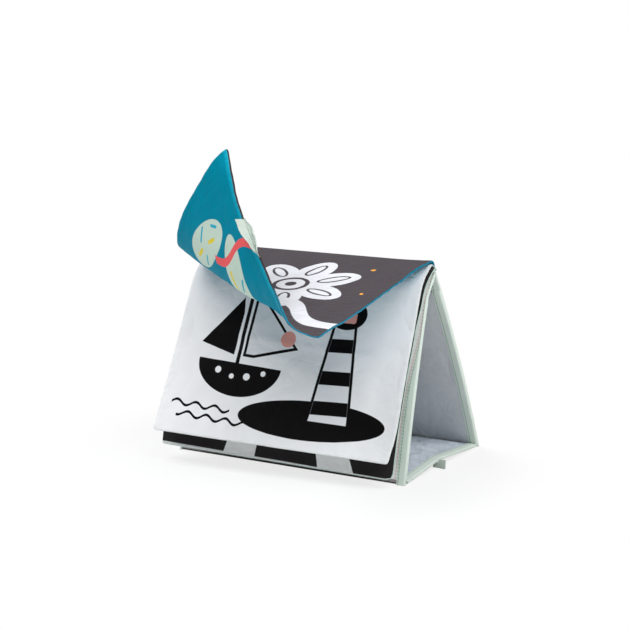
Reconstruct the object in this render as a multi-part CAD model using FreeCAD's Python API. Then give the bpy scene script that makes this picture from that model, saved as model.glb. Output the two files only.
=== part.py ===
"""Soft activity book that stands as a tent: two stiffened covers joined at a ridge, a cloth base
between their feet, and three cloth pages sewn in at the ridge. Millimetres, +Z up.

X runs along the ridge, to the right. Y runs from the front cover's foot to the back cover's.
The origin is the middle of the front cover's foot, on the table.

Cloth is drawn in section: a line starts with a lean, measured from straight down towards the side
that it faces, and goes on as straight runs (length,) and arcs (radius, turn in degrees). A layer
lies between two depths behind its line.
"""
import FreeCAD
import Part
import math
import os

from FreeCAD import Vector

# ---- driving dimensions ----
BOOK_WIDTH = 210.0          # over the bound ends
RIDGE_HEIGHT = 159.0        # top of the covers, under the pages
FRONT_LEAN = 13.5           # mean lean of the front panel, degrees from upright
BACK_LEAN = 27.8
FRONT_ROOF = 21.0           # soft stretch without a board, between ridge and panel
BACK_ROOF = 18.5
FRONT_ROOF_LEAN = 37.5
BACK_ROOF_LEAN = 34.2
KNEE_RADIUS = 14.0          # where the soft stretch turns into the panel
FRONT_BOW = 1400.0          # radius of a panel's gentle outward bow
BACK_BOW = 1080.0
CLOTH = 0.6                 # one layer of cloth
BOARD = 1.6                 # stiffener inside a cover
TAPE = 0.5                  # binding tape
TAPE_BAND = 7.4             # width of tape that shows on each face
PLAY = 0.1                  # between layers that lie in one another
CLEAR = 0.3                 # between pieces that are sewn together or that move

BASE_CLOTH = 1.6            # base: outer cloth, wadding and lining
BASE_LIFT = 1.0             # underside of the base at its two seams
BASE_RISE = 6.4             # and at its crease
CREASE_SHARE = 0.45         # where the crease lies, from front seam to back seam
CREASE_RADIUS = 5.0

PAGE = 1.2                  # a page: two cloths over crinkle film
PAGE_MARGIN = 3.0           # a page ends this far inside the covers, at each end
PAGE_LENGTH = RIDGE_HEIGHT + 9.0    # of the lifted page, from its curl to its free edge
PAGE_CORNER = 3.0           # radius of a free corner
HELD_CORNER = 7.0           # how much of the held corner is rounded away
CURL_RADIUS = 2.3           # how the innermost page turns over the ridge, outside
ROOT = 1.8                  # its upright stretch above the seam
ROOT_STEP = 0.4             # each page further out stands this much higher
SEAM_ALLOWANCE = 1.2        # height of the pages' common seam

# ---- the lifted page ----
PAGE_DROOP = 9.8            # its flat half leaves the ridge this far under level, degrees
FAN_REACH = 1.525           # its rulings meet beyond its far corner, in diagonals from the ridge
BEND = (1.9, 63.0, -199.8, 152.9)   # how sharply the lifted half bends, on the unit sphere: a cubic
                            # in the share of the way from its diagonal to the held corner
FOLD_PLACE = 0.186          # where a tighter fold starts, as a share of that way
FOLD_SPREAD = 0.09          # and how much of the way it takes
FOLD_TURN = 31.8            # degrees
RULINGS = 17                # sections of the bent half
BEND_STEPS = 400

# ---- ribbons ----
RIBBON = 1.0                # thickness of a folded ribbon loop
PAGE_TAB_PLACE = 96.0       # its middle, along the page's free edge from the held corner
PAGE_TAB_LENGTH = 36.0
PAGE_TAB_REACH = 7.5
PAGE_TAB_TURN = 120.0       # how far it is turned up from lying on the page's underside, degrees
TAB_SECTIONS = 9            # sections of its half-round outline
TAB_SPREAD = 80.0           # the outline runs this far to each side of its middle, degrees
BASE_TAB_WIDTH = 7.5
BASE_TAB_REACH = 6.5        # how far the loop stands out of the right end
BASE_TAB_HOLD = 4.5         # how far it reaches in under the base
BASE_TAB_PLACE = 4.0        # how far in front of the base's crease it hangs

# ---- how the two hanging pages fall, after their curls: left edge, right edge ----
CURL_TURN = -125.0
PAGE_2_LEFT = [(8.0,), (70.0, -28.0), (RIDGE_HEIGHT - 55.0,), (300.0, 1.0), (12.0,)]
PAGE_2_RIGHT = [(8.0,), (30.0, -35.7), (RIDGE_HEIGHT - 59.0,), (60.0, 16.0), (18.0,)]
PAGE_3_LEFT = [(6.0,), (60.0, -31.0), (RIDGE_HEIGHT - 79.0,), (150.0, -12.0), (20.4,)]
PAGE_3_RIGHT = [(6.0,), (26.0, -36.0), (RIDGE_HEIGHT - 55.0,), (200.0, -5.0), (25.0,)]

# ---- sizes that follow ----
COVER = 2 * CLOTH + BOARD + 2 * PLAY
ROOF = 2 * CLOTH + PLAY
HEM = CLOTH + PLAY + BOARD
HALF_WIDTH = BOOK_WIDTH / 2
CLOTH_END = HALF_WIDTH - TAPE - PLAY
HALF_PAGE = HALF_WIDTH - PAGE_MARGIN
PAGE_WIDTH = 2 * HALF_PAGE
PAGE_STEP = PAGE + CLEAR
PAGES_Z = RIDGE_HEIGHT + (TAPE + PLAY) * math.sin(math.radians(FRONT_ROOF_LEAN)) + CLEAR
FAR = 3 * BOOK_WIDTH        # past everything, for trimming
BELOW = 12.0                # cover sections run on under the table and are trimmed at it


def normal(lean):
    """Points from a section line to the side where its depths lie."""
    return -math.cos(math.radians(lean)), -math.sin(math.radians(lean))


def trace(start, lean, runs):
    """Nodes (p, z, lean) of a line: its start, then each run's middle and end."""
    p, z = start
    nodes = [(p, z, lean)]
    for run in runs:
        for _ in range(2):
            if len(run) == 1:
                p += run[0] / 2 * math.sin(math.radians(lean))
                z -= run[0] / 2 * math.cos(math.radians(lean))
            else:
                side = -run[0] if run[1] > 0 else run[0]
                before, after = normal(lean), normal(lean + run[1] / 2)
                lean += run[1] / 2
                p += side * (before[0] - after[0])
                z += side * (before[1] - after[1])
            nodes.append((p, z, lean))
    return nodes


class Section:
    """A cloth's section line, measured from the plane y0 and facing the front (-1) or the back (1)."""

    def __init__(self, y0, facing, start, lean, runs):
        self.y0, self.facing = y0, facing
        self.nodes = trace(start, lean, runs)
        self.ends = len(runs) + 1

    def point(self, i, depth):
        p, z, lean = self.nodes[i]
        n = normal(lean)
        return Vector(0, self.y0 + self.facing * (p + depth * n[0]), z + depth * n[1])

    def edges(self, depths):
        """Edges at a depth, given as one number or as one for each run's end."""
        if not isinstance(depths, list):
            depths = [depths] * self.ends
        found = []
        for k in range(self.ends - 1):
            a, b = self.point(2 * k, depths[k]), self.point(2 * k + 2, depths[k + 1])
            straight = self.nodes[2 * k][2] == self.nodes[2 * k + 2][2]
            if straight or depths[k] != depths[k + 1]:
                found.append(Part.makeLine(a, b))
            else:
                found.append(Part.Arc(a, self.point(2 * k + 1, depths[k]), b).toShape())
        return found

    def outline(self, near, far, x):
        """The closed wire round the layer between two depths, in the plane at x."""
        inner, outer = self.edges(near), self.edges(far)
        start = Part.makeLine(outer[0].Vertexes[0].Point, inner[0].Vertexes[0].Point)
        end = Part.makeLine(inner[-1].Vertexes[-1].Point, outer[-1].Vertexes[-1].Point)
        wire = Part.Wire([start, *inner, end, *reversed(outer)])
        wire.translate(Vector(x, 0, 0))
        return wire

    def layer(self, near, far, x0, x1):
        """The solid between two depths, from x0 to x1."""
        return Part.Face(self.outline(near, far, x0)).extrude(Vector(x1 - x0, 0, 0))


def block(y0, y1, z0, z1):
    """A trimming block, wider than the book."""
    return Part.makeBox(2 * FAR, y1 - y0, z1 - z0, Vector(-FAR, y0, z0))


def mirrored(shape):
    return shape.mirror(Vector(0, 0, 0), Vector(1, 0, 0))


# ---- covers ----
def cover_runs(roof, roof_lean, mean_lean, bow):
    """A cover's outer line from the ridge down: soft roof, knee, and a bowed panel past the table."""
    drop = RIDGE_HEIGHT - roof * math.cos(math.radians(roof_lean)) + BELOW
    half_bow = math.degrees(drop / math.cos(math.radians(mean_lean)) / 2 / bow)
    return [(roof,), (KNEE_RADIUS, mean_lean + half_bow - roof_lean), (bow, -2 * half_bow)]


def foot_reach(roof_lean, runs, depth, height=0.0):
    """How far from the ridge a panel's line, at a depth, comes down to a height."""
    p, z, lean = trace((0, RIDGE_HEIGHT), roof_lean, runs)[-1]
    bow, n = runs[-1][0], normal(lean)
    return p + bow * n[0] + math.sqrt((bow - depth) ** 2 - (height - z - bow * n[1]) ** 2)


FRONT_RUNS = cover_runs(FRONT_ROOF, FRONT_ROOF_LEAN, FRONT_LEAN, FRONT_BOW)
BACK_RUNS = cover_runs(BACK_ROOF, BACK_ROOF_LEAN, BACK_LEAN, BACK_BOW)
RIDGE_Y = (foot_reach(FRONT_ROOF_LEAN, FRONT_RUNS, 0) + foot_reach(FRONT_ROOF_LEAN, FRONT_RUNS, HEM)) / 2
FRONT = Section(RIDGE_Y, -1, (0, RIDGE_HEIGHT), FRONT_ROOF_LEAN, FRONT_RUNS)
BACK = Section(RIDGE_Y, 1, (0, RIDGE_HEIGHT), BACK_ROOF_LEAN, BACK_RUNS)
# the lining lies on the face cloth along the roof, and behind the board along the panel
LINING_NEAR = [ROOF - CLOTH, ROOF - CLOTH, COVER - CLOTH, COVER - CLOTH]
LINING_FAR = [ROOF, ROOF, COVER, COVER]


def own_side(section):
    """The room of one cover: above the table and on its own side of the ridge seam."""
    seam = section.y0 + section.facing * CLEAR / 2
    y0, y1 = (-FAR, seam) if section.facing < 0 else (seam, FAR)
    return block(y0, y1, 0, FAR)


def cover_face(section):
    """Outer cloth, turned in under the board as the hem that the book stands on."""
    face = section.layer(0.0, CLOTH, -CLOTH_END, CLOTH_END).common(own_side(section))
    hem = section.layer(0.0, HEM, -CLOTH_END, CLOTH_END).common(block(-FAR, FAR, 0, CLOTH))
    return face.fuse(hem).removeSplitter()


def cover_board(section):
    """Stiffener, from just under the knee to the hem."""
    end = CLOTH_END - CLEAR
    board = section.layer(CLOTH + PLAY, HEM, -end, end)
    return board.common(block(-FAR, FAR, CLOTH + PLAY, section.point(4, HEM).z))


def cover_lining(section):
    return section.layer(LINING_NEAR, LINING_FAR, -CLOTH_END, CLOTH_END).common(own_side(section))


def cover_binding(section):
    """Tape folded round the right end of a cover, from its foot to the ridge."""
    band, end = HALF_WIDTH - TAPE_BAND, HALF_WIDTH
    tape = section.layer(-PLAY - TAPE, [d + PLAY + TAPE for d in LINING_FAR], band, end)
    room = section.layer(-PLAY, [d + PLAY for d in LINING_FAR], band - 1, end - TAPE)
    return tape.cut(room).common(own_side(section))


# ---- base ----
WITH_TAPE = COVER + PLAY + TAPE
BASE_TOP = BASE_LIFT + BASE_CLOTH + PLAY + TAPE     # at its two seams
BASE_FRONT = RIDGE_Y - foot_reach(FRONT_ROOF_LEAN, FRONT_RUNS, WITH_TAPE, BASE_TOP) + CLEAR
BASE_BACK = RIDGE_Y + foot_reach(BACK_ROOF_LEAN, BACK_RUNS, WITH_TAPE, BASE_TOP) - CLEAR
CREASE_Y = BASE_FRONT + (BASE_BACK - BASE_FRONT) * CREASE_SHARE


def base_section():
    """The base's upper line: up to a rounded crease and down again."""
    rise = BASE_RISE - BASE_LIFT
    up = math.degrees(math.atan2(rise, CREASE_Y - BASE_FRONT))
    down = math.degrees(math.atan2(rise, BASE_BACK - CREASE_Y))
    cut = CREASE_RADIUS * math.tan(math.radians((up + down) / 2))
    runs = [
        (math.hypot(rise, CREASE_Y - BASE_FRONT) - cut,),
        (CREASE_RADIUS, -up - down),
        (math.hypot(rise, BASE_BACK - CREASE_Y) - cut,),
    ]
    return Section(BASE_FRONT, 1, (0, BASE_LIFT + BASE_CLOTH), 90 + up, runs)


def base_panel():
    panel = base_section().layer(0.0, BASE_CLOTH, -CLOTH_END, CLOTH_END)
    return panel.common(block(BASE_FRONT, BASE_BACK, 0, FAR))


def base_binding():
    """Tape folded round the base's right end."""
    band, end = HALF_WIDTH - TAPE_BAND, HALF_WIDTH
    tape = base_section().layer(-PLAY - TAPE, BASE_CLOTH + PLAY + TAPE, band, end)
    room = base_section().layer(-PLAY, BASE_CLOTH + PLAY, band - 1, end - TAPE)
    return tape.cut(room).common(block(BASE_FRONT, BASE_BACK, 0, FAR))


def base_pull_tab():
    """Ribbon loop that hangs upright from the base in front of its crease, down to the table. Past
    the right end it stands up beside the base too."""
    under = BASE_CLOTH + PLAY + TAPE + CLEAR
    section = base_section()
    crease, seam = section.point(2, under), section.point(0, under)
    place = crease + (seam - crease).normalize() * BASE_TAB_PLACE
    held, past, out = HALF_WIDTH - BASE_TAB_HOLD, HALF_WIDTH + CLEAR, HALF_WIDTH + BASE_TAB_REACH
    outline = [
        Vector(held, place.y, CLEAR),
        Vector(out, place.y, CLEAR),
        Vector(out, place.y, CLEAR + BASE_TAB_WIDTH),
        Vector(past, place.y, CLEAR + BASE_TAB_WIDTH),
        Vector(past, place.y, place.z),
        Vector(held, place.y, place.z),
    ]
    return Part.Face(Part.makePolygon(outline + outline[:1])).extrude(Vector(0, RIBBON, 0))


# ---- pages: 0 is the innermost, 2 the outermost ----
def page_root(order):
    """(p, z) where a page's outer side leaves the seam, its curl's outer radius, its upright run."""
    start = (PAGE_STEP * (1 - order) - PAGE / 2, PAGES_Z)
    return start, CURL_RADIUS + PAGE_STEP * order, ROOT + ROOT_STEP * order


def hanging_page(order, left, right):
    """A page that falls from its curl in front of the cover, with its own fall at each edge."""
    start, radius, upright = page_root(order)
    wires = []
    for x, fall in ((-HALF_PAGE, left), (HALF_PAGE, right)):
        line = Section(RIDGE_Y, -1, start, 180.0, [(upright,), (radius, CURL_TURN), *fall])
        wires.append(line.outline(0.0, PAGE, x))
    page = Part.makeLoft(wires, True, True)
    corners = [e for e in page.Edges if e.Length < PAGE + PLAY and e.CenterOfMass.z < RIDGE_HEIGHT / 2]
    return page.makeFillet(PAGE_CORNER, corners)


class LiftedPage:
    """The outermost page, lifted by its free left corner. The half right of its diagonal stays flat.
    The other half is bent up over the diagonal as part of a cone, so it keeps its size everywhere.
    On the page, u runs along the ridge from the left and v down to the free edge."""

    def __init__(self):
        (start, _), self.radius, self.upright = page_root(2)
        droop = math.radians(PAGE_DROOP)
        middle = self.radius - PAGE / 2
        centre = Vector(0, RIDGE_Y - start - self.radius, PAGES_Z + self.upright)
        self.along = Vector(1, 0, 0)
        self.down = Vector(0, -math.cos(droop), -math.sin(droop))
        self.up = Vector(0, -math.sin(droop), math.cos(droop))
        self.corner = centre + self.up * middle - self.along * HALF_PAGE
        self.tip = (FAN_REACH * PAGE_WIDTH, FAN_REACH * PAGE_LENGTH)
        self.apex = self.flat(*self.tip)
        self.rays = self.bend()

    def flat(self, u, v):
        return self.corner + self.along * u + self.down * v

    def angle(self, u, v):
        """Of the ruling through a point of the page, at the apex."""
        return math.atan2(self.tip[1] - v, self.tip[0] - u)

    def bend(self):
        """Ruling, direction across it and surface normal, from the diagonal to the held corner."""
        ray = (self.corner - self.apex).normalize()
        across = (self.down - ray * self.down.dot(ray)).normalize()
        facing = self.up
        span = self.angle(0, 0) - self.angle(0, PAGE_LENGTH)
        small = span / BEND_STEPS
        fold = math.radians(FOLD_TURN) / (FOLD_SPREAD * span)
        found = [(ray, across, facing)]
        for k in range(BEND_STEPS):
            x = (k + 0.5) / BEND_STEPS
            bend = sum(term * x**power for power, term in enumerate(BEND))
            through = (x - FOLD_PLACE) / FOLD_SPREAD
            if 0 < through < 1:
                bend += fold * (1 - math.cos(2 * math.pi * through))
            step = across * small
            across = across - ray * small + facing * (bend * small)
            facing = facing - step * bend
            ray = (ray + step).normalize()
            across = (across - ray * across.dot(ray)).normalize()
            facing = facing - ray * facing.dot(ray)
            facing = (facing - across * facing.dot(across)).normalize()
            found.append((ray, across, facing))
        return found

    def point(self, u, v):
        """A point of the bent half, in the page's middle, and the surface normal there."""
        whole = self.angle(0, 0)
        steps = BEND_STEPS * (whole - self.angle(u, v)) / (whole - self.angle(0, PAGE_LENGTH))
        k = min(int(steps), BEND_STEPS - 1)
        (ray, _, facing), (next_ray, _, next_facing) = self.rays[k], self.rays[k + 1]
        ray = (ray + (next_ray - ray) * (steps - k)).normalize()
        facing = (facing + (next_facing - facing) * (steps - k)).normalize()
        return self.apex + ray * math.hypot(self.tip[0] - u, self.tip[1] - v), facing

    def bar(self, a, b):
        """Closed flat outline through the page's thickness between two of its points."""
        (start, facing), (end, _) = self.point(*a), self.point(*b)
        half = facing * (PAGE / 2)
        return Part.makePolygon([start + half, end + half, end - half, start - half, start + half])

    def flat_half(self):
        corners = [(0, 0), (PAGE_WIDTH, 0), (PAGE_WIDTH, PAGE_LENGTH)]
        under = [self.flat(*c) - self.up * (PAGE / 2) for c in corners]
        return Part.Face(Part.makePolygon(under + under[:1])).extrude(self.up * PAGE)

    def bent_half(self):
        """Loft along the rulings, each from the left edge to the free edge."""
        last = PAGE_LENGTH - HELD_CORNER * PAGE_LENGTH / PAGE_WIDTH
        bars = []
        for k in range(RULINGS):
            v = last * k / (RULINGS - 1)
            angle = self.angle(0, v)
            free_u = self.tip[0] - (self.tip[1] - PAGE_LENGTH) / math.tan(angle)
            bars.append(self.bar((0, v), (free_u, PAGE_LENGTH)))
        return Part.makeLoft(bars, True, False)

    def curl(self):
        start, _, _ = page_root(2)
        runs = [(self.upright,), (self.radius, -90.0 - PAGE_DROOP)]
        line = Section(RIDGE_Y, -1, start, 180.0, runs)
        return line.layer(0.0, PAGE, -HALF_PAGE, HALF_PAGE)

    def tab(self):
        """Ribbon loop that stands off the free edge, on the page's underside: a half-round lug that
        follows the page's bend."""
        bars = []
        for k in range(TAB_SECTIONS):
            turn = math.radians(TAB_SPREAD * (2 * k / (TAB_SECTIONS - 1) - 1))
            u = PAGE_TAB_PLACE + PAGE_TAB_LENGTH / 2 * math.sin(turn)
            edge, facing = self.point(u, PAGE_LENGTH)
            inward = (self.point(u, PAGE_LENGTH - RIBBON)[0] - edge).normalize()
            lean = math.radians(PAGE_TAB_TURN)
            out = inward * math.cos(lean) - facing * math.sin(lean)
            across = inward * math.sin(lean) + facing * math.cos(lean)
            start = edge - facing * (PAGE / 2 + CLEAR) - across * RIBBON
            end = start + out * (PAGE_TAB_REACH * math.cos(turn))
            thick = across * RIBBON
            bars.append(Part.makePolygon([start, end, end + thick, start + thick, start]))
        return Part.makeLoft(bars, True, True)


LIFTED = LiftedPage()
# the covers fold about the lowest point of the ridge seam
HINGE_Z = RIDGE_HEIGHT - (ROOF + PLAY + TAPE) / math.sin(math.radians(BACK_ROOF_LEAN)) - CLEAR
FRONT_TOP = RIDGE_HEIGHT - CLEAR / 2 / math.tan(math.radians(FRONT_ROOF_LEAN))


def pages():
    """All three pages, sewn into one seam allowance that sits on the ridge between the bindings."""
    half_seam, stack = HALF_WIDTH - TAPE_BAND - CLEAR, 2 * PAGE_STEP + PAGE
    corner = Vector(-half_seam, RIDGE_Y - stack / 2, FRONT_TOP + CLEAR)
    seam = Part.makeBox(2 * half_seam, stack, SEAM_ALLOWANCE, corner)
    inner = hanging_page(0, PAGE_3_LEFT, PAGE_3_RIGHT)
    middle = hanging_page(1, PAGE_2_LEFT, PAGE_2_RIGHT)
    return seam.fuse([inner, middle, LIFTED.curl(), LIFTED.flat_half(), LIFTED.bent_half()])


PIECES = {
    "front_cover_face": cover_face(FRONT),
    "front_cover_board": cover_board(FRONT),
    "front_cover_lining": cover_lining(FRONT),
    "front_binding_left": mirrored(cover_binding(FRONT)),
    "front_binding_right": cover_binding(FRONT),
    "back_cover_face": cover_face(BACK),
    "back_cover_board": cover_board(BACK),
    "back_cover_lining": cover_lining(BACK),
    "back_binding_left": mirrored(cover_binding(BACK)),
    "back_binding_right": cover_binding(BACK),
    "base_panel": base_panel(),
    "base_binding_left": mirrored(base_binding()),
    "base_binding_right": base_binding(),
    "base_pull_tab": base_pull_tab(),
    "pages": pages(),
    "page_tab": LIFTED.tab(),
}

os.makedirs("parts", exist_ok=True)
for name, shape in PIECES.items():
    shape.exportStep(os.path.join("parts", name + ".step"))
    box = shape.BoundBox
    print(name, len(shape.Solids), shape.isValid(), round(shape.Volume, 1),
          [round(v, 1) for v in (box.XMin, box.XMax, box.YMin, box.YMax, box.ZMin, box.ZMax)])
print("hinge at y", round(RIDGE_Y, 3), "z", round(HINGE_Z, 3))
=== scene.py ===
from math import atan2, ceil, cos, degrees, exp, hypot, pi, radians, sin, tan
import bpy
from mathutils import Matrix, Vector, noise


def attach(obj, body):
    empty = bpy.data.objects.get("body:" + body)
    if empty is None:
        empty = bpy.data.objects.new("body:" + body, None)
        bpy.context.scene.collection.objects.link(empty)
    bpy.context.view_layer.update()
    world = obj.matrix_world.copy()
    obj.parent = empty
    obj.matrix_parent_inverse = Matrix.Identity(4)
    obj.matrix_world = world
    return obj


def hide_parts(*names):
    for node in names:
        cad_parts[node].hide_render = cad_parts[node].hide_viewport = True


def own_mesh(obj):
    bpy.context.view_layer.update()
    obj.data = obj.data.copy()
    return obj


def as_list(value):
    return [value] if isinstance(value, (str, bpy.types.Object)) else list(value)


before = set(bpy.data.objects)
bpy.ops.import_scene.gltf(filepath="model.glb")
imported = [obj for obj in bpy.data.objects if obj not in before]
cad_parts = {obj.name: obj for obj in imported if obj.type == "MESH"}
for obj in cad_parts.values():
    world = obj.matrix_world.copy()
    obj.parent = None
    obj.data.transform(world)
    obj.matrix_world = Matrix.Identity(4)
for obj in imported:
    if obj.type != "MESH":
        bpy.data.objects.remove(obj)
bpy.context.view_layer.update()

# Soft activity book standing as a tent. Metres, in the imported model's frame: X along the ridge,
# Y from the front foot to the back foot, Z up. Cloth is laid out in millimetres, u along the ridge
# and s down the cloth.

print("stage: frame loaded")


def clearSelection():
    if bpy.context.object and bpy.context.object.mode != "OBJECT":
        bpy.ops.object.mode_set(mode="OBJECT")
    bpy.ops.object.select_all(action="DESELECT")


def makeActive(piece):
    clearSelection()
    piece.select_set(True)
    bpy.context.view_layer.objects.active = piece


def editAll(piece):
    # edit mode with the whole mesh selected; clearSelection ends it
    makeActive(piece)
    bpy.ops.object.mode_set(mode="EDIT")
    bpy.ops.mesh.select_all(action="SELECT")


def setMaterials(piece, *materials):
    piece.data.materials.clear()
    for material in materials:
        piece.data.materials.append(material)


def fromHex(code):
    parts = [int(code[i:i + 2], 16) / 255 for i in (0, 2, 4)]
    linear = [c / 12.92 if c <= 0.04045 else ((c + 0.055) / 1.055) ** 2.4 for c in parts]
    return (*linear, 1.0)


def blendTo(low, high, x):
    t = min(1.0, max(0.0, (x - low) / (high - low)))
    return t * t * (3 - 2 * t)


def insideEdges(x, length, start, end):
    # 0 at both edges of the cloth and 1 inside; start and end say how far in the rise runs
    return blendTo(*start, x) * blendTo(length - end[0], length - end[1], x)


def between(stops, t):
    # a smooth run of values through (place, value) stops
    for (a, low), (b, high) in zip(stops, stops[1:]):
        if t <= b:
            return low + (high - low) * blendTo(a, b, t)
    return stops[-1][1]


seedStep = 7.3


def softNoise(x, y, size, seed):
    return noise.noise(Vector((x / size, y / size, seed * seedStep)))


# cloth is a grid placed in code, then thickened and smoothed
def clothGrid(name, width, length, across, down, place):
    clearSelection()
    bpy.ops.mesh.primitive_grid_add(x_subdivisions=across, y_subdivisions=down, size=1, location=(0, 0, 0))
    piece = bpy.context.object
    piece.name = name
    piece.data.name = name
    spots = [((v.co.x + 0.5) * width, (0.5 - v.co.y) * length) for v in piece.data.vertices]
    layer = piece.data.uv_layers.active.data
    for corner in piece.data.loops:
        layer[corner.index].uv = spots[corner.vertex_index]
    for vertex, (u, s) in zip(piece.data.vertices, spots):
        vertex.co = Vector(place(u, s)) / 1000
    piece.data.update()
    return piece


def thickerEdge(piece, weightAt):
    # a vertex group that says how thick the cloth is, as a share of the full thickness
    group = piece.vertex_groups.new(name="thick")
    layer = piece.data.uv_layers.active.data
    found = {corner.vertex_index: layer[corner.index].uv for corner in piece.data.loops}
    for index, (u, s) in found.items():
        group.add([index], weightAt(u, s), "REPLACE")


def thicken(piece, thickness, offset, slots):
    makeActive(piece)
    shell = piece.modifiers.new("thickness", "SOLIDIFY")
    if piece.vertex_groups:
        shell.vertex_group = "thick"
        shell.thickness_vertex_group = 0.0
    shell.thickness = thickness / 1000
    shell.offset = offset
    shell.use_even_offset = True
    shell.material_offset, shell.material_offset_rim = slots
    soften = piece.modifiers.new("soft edges", "SUBSURF")
    soften.levels = soften.render_levels = 1
    for modifier in list(piece.modifiers):
        bpy.ops.object.modifier_apply(modifier=modifier.name)
    bpy.ops.object.shade_smooth()


def makeCloth(name, size, cuts, place, thickness, *materials, offset=-1.0, flipped=False, weightAt=None, slots=(0, 0)):
    piece = clothGrid(name, *size, *cuts, place)
    if flipped:
        editAll(piece)
        bpy.ops.mesh.flip_normals()
        clearSelection()
    setMaterials(piece, *materials)
    if weightAt:
        thickerEdge(piece, weightAt)
    thicken(piece, thickness, offset, slots)
    return piece


# section lines, as the covers and pages are cut: length, y, z and lean along the cloth
lineStep = 0.5


def sectionLine(startP, startZ, lean, runs):
    # each run is a straight length, or a radius and the angle it turns
    line = [(0.0, startP, startZ, lean)]
    s, p, z = 0.0, startP, startZ
    for run in runs:
        length = run[0] if len(run) == 1 else run[0] * radians(abs(run[1]))
        steps = max(1, ceil(length / lineStep))
        turn = 0.0 if len(run) == 1 else run[1] / steps
        for _ in range(steps):
            lean += turn / 2
            p += length / steps * sin(radians(lean))
            z -= length / steps * cos(radians(lean))
            lean += turn / 2
            s += length / steps
            line.append((s, p, z, lean))
    return line


def onLine(line, s):
    last = line[-1][0]
    k = min(len(line) - 2, max(0, int(s / last * (len(line) - 1))))
    while k > 0 and line[k][0] > s:
        k -= 1
    while k < len(line) - 2 and line[k + 1][0] < s:
        k += 1
    a, b = line[k], line[k + 1]
    t = (s - a[0]) / max(1e-9, b[0] - a[0])
    return [a[i] + (b[i] - a[i]) * t for i in (1, 2, 3)]


# shader node helpers; each finds its tree from the sockets it is given
def put(socket, value):
    if isinstance(value, (int, float, tuple)):
        socket.default_value = value
    else:
        socket.id_data.links.new(value, socket)


def addNode(tree, kind, values, **settings):
    node = tree.nodes.new("ShaderNode" + kind)
    for setting, value in settings.items():
        setattr(node, setting, value)
    for label, value in values.items():
        put(node.inputs[label], value)
    return node


def calc(operation, *values):
    tree = next(value.id_data for value in values if isinstance(value, bpy.types.NodeSocket))
    node = addNode(tree, "Math", {}, operation=operation)
    for socket, value in zip(node.inputs, values):
        put(socket, value)
    return node.outputs[0]


def plus(a, b):
    return calc("ADD", a, b)


def minus(a, b):
    return calc("SUBTRACT", a, b)


def times(a, b):
    return calc("MULTIPLY", a, b)


def over(a, b):
    return calc("DIVIDE", a, b)


def away(a, b):
    return calc("ABSOLUTE", minus(a, b))


def lengthOf(x, y):
    return calc("SQRT", plus(times(x, x), times(y, y)))


def splitPlace(cloth):
    return addNode(cloth.id_data, "SeparateXYZ", {"Vector": cloth}).outputs[:2]


def cloudy(place, scale, **more):
    return addNode(place.id_data, "TexNoise", {"Scale": scale, "Vector": place, **more}).outputs["Fac"]


def tidyMask(distance, softness=0.35):
    edge = calc("MULTIPLY_ADD", distance, -1 / softness, 0.5)
    return addNode(edge.id_data, "Clamp", {"Value": edge}).outputs[0]


def outOf(mask, hole):
    return times(mask, minus(1.0, hole))


def paint(base, mask, colour):
    base = fromHex(base) if isinstance(base, str) else base
    values = {"Factor": mask, "A": base, "B": fromHex(colour)}
    node = mask.id_data.nodes.new("ShaderNodeMix")
    node.data_type = "RGBA"
    for label, value in values.items():
        put(node.inputs[label], value)
    return node.outputs["Result"]


# shader node groups: prints, weave, creases and stitches, built once
def newGroup(name, inputs, outputs):
    group = bpy.data.node_groups.new(name, "ShaderNodeTree")
    for label, value in inputs.items():
        kind = "NodeSocketVector" if value is None else "NodeSocketFloat"
        socket = group.interface.new_socket(name=label, in_out="INPUT", socket_type=kind)
        if value is not None:
            socket.default_value = value
    for label in outputs:
        group.interface.new_socket(name=label, in_out="OUTPUT", socket_type="NodeSocketFloat")
    return group, group.nodes.new("NodeGroupInput").outputs, group.nodes.new("NodeGroupOutput").inputs


def turned(x, y, turn):
    angle = calc("RADIANS", turn)
    c, s = calc("COSINE", angle), calc("SINE", angle)
    return plus(times(x, c), times(y, s)), minus(times(y, c), times(x, s))


def printGroup(name, distanceFrom, **more):
    # a printed shape: its mask, and the distance from its edge in millimetres
    inputs = {"Cloth": None, "X": 0.0, "Y": 0.0, "Width": 10.0, "Height": 10.0, "Turn": 0.0, **more}
    group, given, made = newGroup(name, inputs, ("Distance", "Mask"))
    x, y = splitPlace(given["Cloth"])
    across, along = turned(minus(x, given["X"]), minus(y, given["Y"]), given["Turn"])
    distance = distanceFrom(given, across, along)
    put(made["Distance"], distance)
    put(made["Mask"], tidyMask(distance))
    return group


def ovalDistance(given, across, along):
    halfWide, halfHigh = times(given["Width"], 0.5), times(given["Height"], 0.5)
    x, y = over(across, halfWide), over(along, halfHigh)
    reach = lengthOf(x, y)
    slope = lengthOf(over(x, halfWide), over(y, halfHigh))
    return over(times(minus(reach, 1.0), reach), plus(slope, 1e-5))


def barDistance(given, across, along):
    x, y = [plus(minus(calc("ABSOLUTE", side), times(given[label], 0.5)), given["Round"])
            for side, label in ((across, "Width"), (along, "Height"))]
    outside = lengthOf(calc("MAXIMUM", x, 0.0), calc("MAXIMUM", y, 0.0))
    inside = calc("MINIMUM", calc("MAXIMUM", x, y), 0.0)
    return minus(plus(outside, inside), given["Round"])


def waveDistance(given, across, along):
    # a wavy stroke along the shape's own X
    swing = calc("SINE", times(over(across, given["Span"]), 2 * pi))
    stroke = minus(away(along, times(swing, given["Rise"])), times(given["Height"], 0.5))
    ends = minus(calc("ABSOLUTE", across), times(given["Width"], 0.5))
    return calc("MAXIMUM", stroke, ends)


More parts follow.
